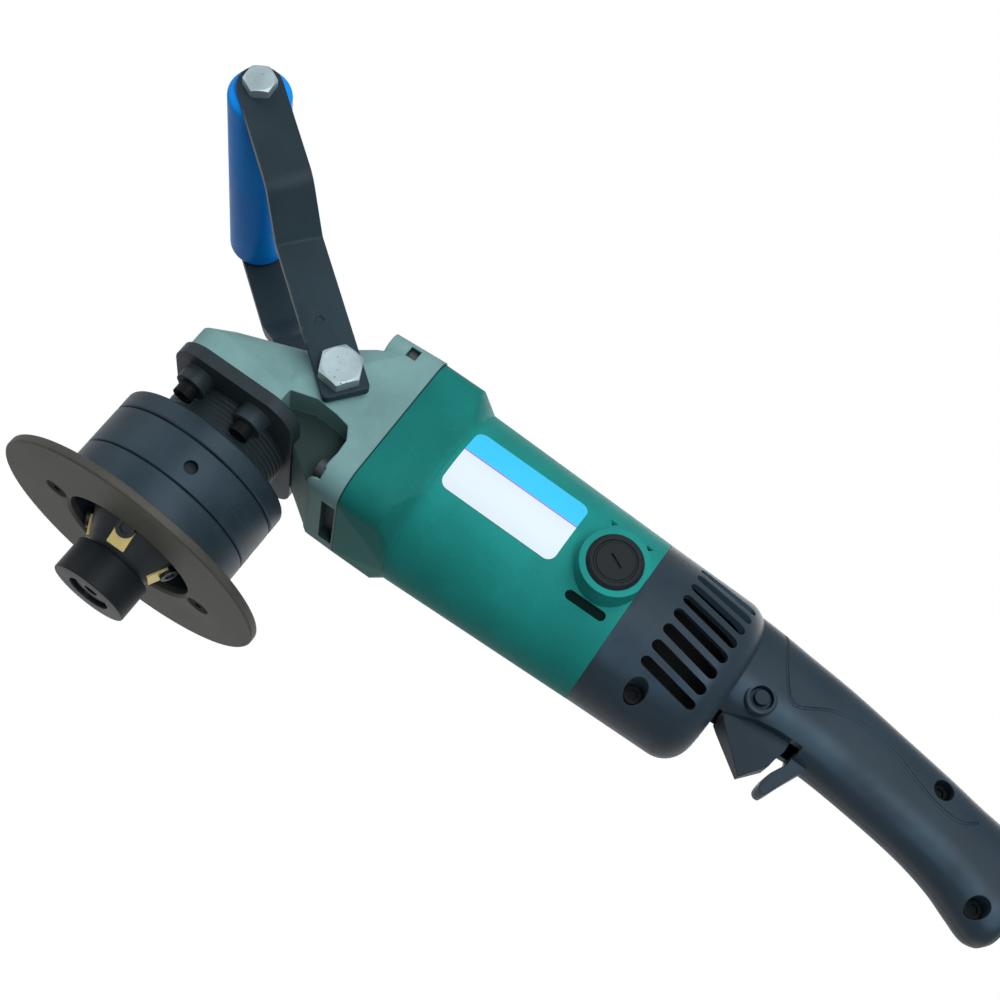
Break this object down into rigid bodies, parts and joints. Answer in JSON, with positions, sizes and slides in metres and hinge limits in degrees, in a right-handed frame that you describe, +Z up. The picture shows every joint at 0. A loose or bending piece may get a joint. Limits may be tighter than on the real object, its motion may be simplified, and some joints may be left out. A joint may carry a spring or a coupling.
{
  "type": "portable beveling machine",
  "caption": "Hand-held electric beveling machine: right-angle gear head with insert cutter, pilot roller and adjustable guide plate, motor housing, rear trigger handle and swinging bail grip.",
  "frame": {"origin": "centre of the pilot roller's lower end face, on the spindle axis", "axes": "+Z up along the spindle axis from cutter to gear head, +X back along the motor to the rear handle, -Y the side with the lock button"},
  "size_m": [0.4693, 0.144, 0.2178],
  "materials": {
    "cast_grey": "hammered grey paint on cast aluminium",
    "black_steel": "blackened, satin",
    "blued_steel": "blued, satin turned",
    "plate_steel": "turned, dark",
    "cutter_steel": "dark satin",
    "steel": "ground",
    "zinc": "zinc plated",
    "iron": "laminated",
    "copper": "enamelled",
    "brass": "drawn",
    "carbon": "matte",
    "insert_gold": "hard coated, satin",
    "green_plastic": "fine grained",
    "black_plastic": "fine grained",
    "arm_paint": "powder coated",
    "grip_blue": "soft satin",
    "rubber": "matte",
    "fan_plastic": "moulded",
    "label": "printed film"
  },
  "bodies": {
    "frame": {"gear_housing": "cast_grey", "bearing_box": "black_steel", "bearing_box_screws": "black_steel", "upper_spindle_bearing": "steel", "lower_spindle_bearing": "steel", "motor_housing": "green_plastic", "gear_housing_screws": "steel", "front_motor_bearing": "steel", "rear_motor_bearing": "steel", "stator_core": "iron", "field_coils": "copper", "rating_label": "label", "brush_holders": "brass", "carbon_brushes": "carbon", "brush_springs": "steel", "brush_caps": "black_plastic", "handle_shell_left": "black_plastic", "handle_shell_right": "black_plastic", "handle_screws": "black_steel", "switch_box": "black_plastic", "trigger_pin": "steel", "cord_inlet": "rubber", "bail_bolts": "zinc"},
    "armature": {"armature_shaft": "steel", "armature_core": "iron", "armature_windings": "copper", "commutator": "copper", "cooling_fan": "fan_plastic", "pinion": "steel"},
    "spindle_unit": {"spindle": "steel", "crown_gear": "steel", "cutter_head": "cutter_steel", "cutter_inserts": "insert_gold", "insert_screws": "black_steel", "pilot_screw": "black_steel"},
    "pilot": {"pilot_roller": "black_steel", "pilot_bearing": "steel"},
    "lock_ring_unit": {"lock_ring": "blued_steel"},
    "adjusting_ring_unit": {"adjusting_ring": "blued_steel"},
    "guide": {"guide_sleeve": "blued_steel", "guide_plate": "plate_steel", "guide_plate_screws": "black_steel"},
    "bail": {"bail_arm_left": "arm_paint", "bail_arm_right": "arm_paint", "grip_tube": "grip_blue", "grip_rod": "zinc", "grip_bolts": "zinc"},
    "trigger_unit": {"trigger": "black_plastic"},
    "lock_button_unit": {"lock_button": "black_plastic"}
  },
  "joints": [
    {"name": "spindle_spin", "type": "hinge", "parent": "frame", "child": "spindle_unit", "pos_m": [0, 0, 0.07], "axis": [0, 0, 1], "continuous": true},
    {"name": "armature_spin", "type": "hinge", "parent": "frame", "child": "armature", "pos_m": [0.12, 0, 0.123], "axis": [1, 0, 0], "continuous": true},
    {"name": "pilot_spin", "type": "hinge", "parent": "spindle_unit", "child": "pilot", "pos_m": [0, 0, 0.009], "axis": [0, 0, 1], "continuous": true},
    {"name": "lock_ring_turn", "type": "hinge", "parent": "frame", "child": "lock_ring_unit", "pos_m": [0, 0, 0.072], "axis": [0, 0, 1], "range_deg": [0, 40]},
    {"name": "adjusting_ring_turn", "type": "hinge", "parent": "frame", "child": "adjusting_ring_unit", "pos_m": [0, 0, 0.057], "axis": [0, 0, 1], "range_deg": [0, 863]},
    {"name": "guide_slide", "type": "slide", "parent": "frame", "child": "guide", "axis": [0, 0, -1], "range_m": [0, 0.006]},
    {"name": "bail_swing", "type": "hinge", "parent": "frame", "child": "bail", "pos_m": [0.0326, 0, 0.1249], "axis": [0, 1, 0], "range_deg": [-35, 100]},
    {"name": "trigger_pull", "type": "hinge", "parent": "frame", "child": "trigger_unit", "pos_m": [0.243, 0, 0.1165], "axis": [0, -1, 0], "range_deg": [0, 7], "stiffness_Nm_per_rad": 0.8, "springref_deg": -5.73},
    {"name": "lock_button_press", "type": "slide", "parent": "frame", "child": "lock_button_unit", "axis": [0, 1, 0], "range_m": [0, 0.0025], "stiffness_N_per_m": 400, "springref_m": -0.002}
  ],
  "couplings": [
    {"joint": "armature_spin", "follows": "spindle_spin", "ratio": 3},
    {"joint": "guide_slide", "follows": "adjusting_ring_turn", "m_per_rad": 0.00039788}
  ]
}
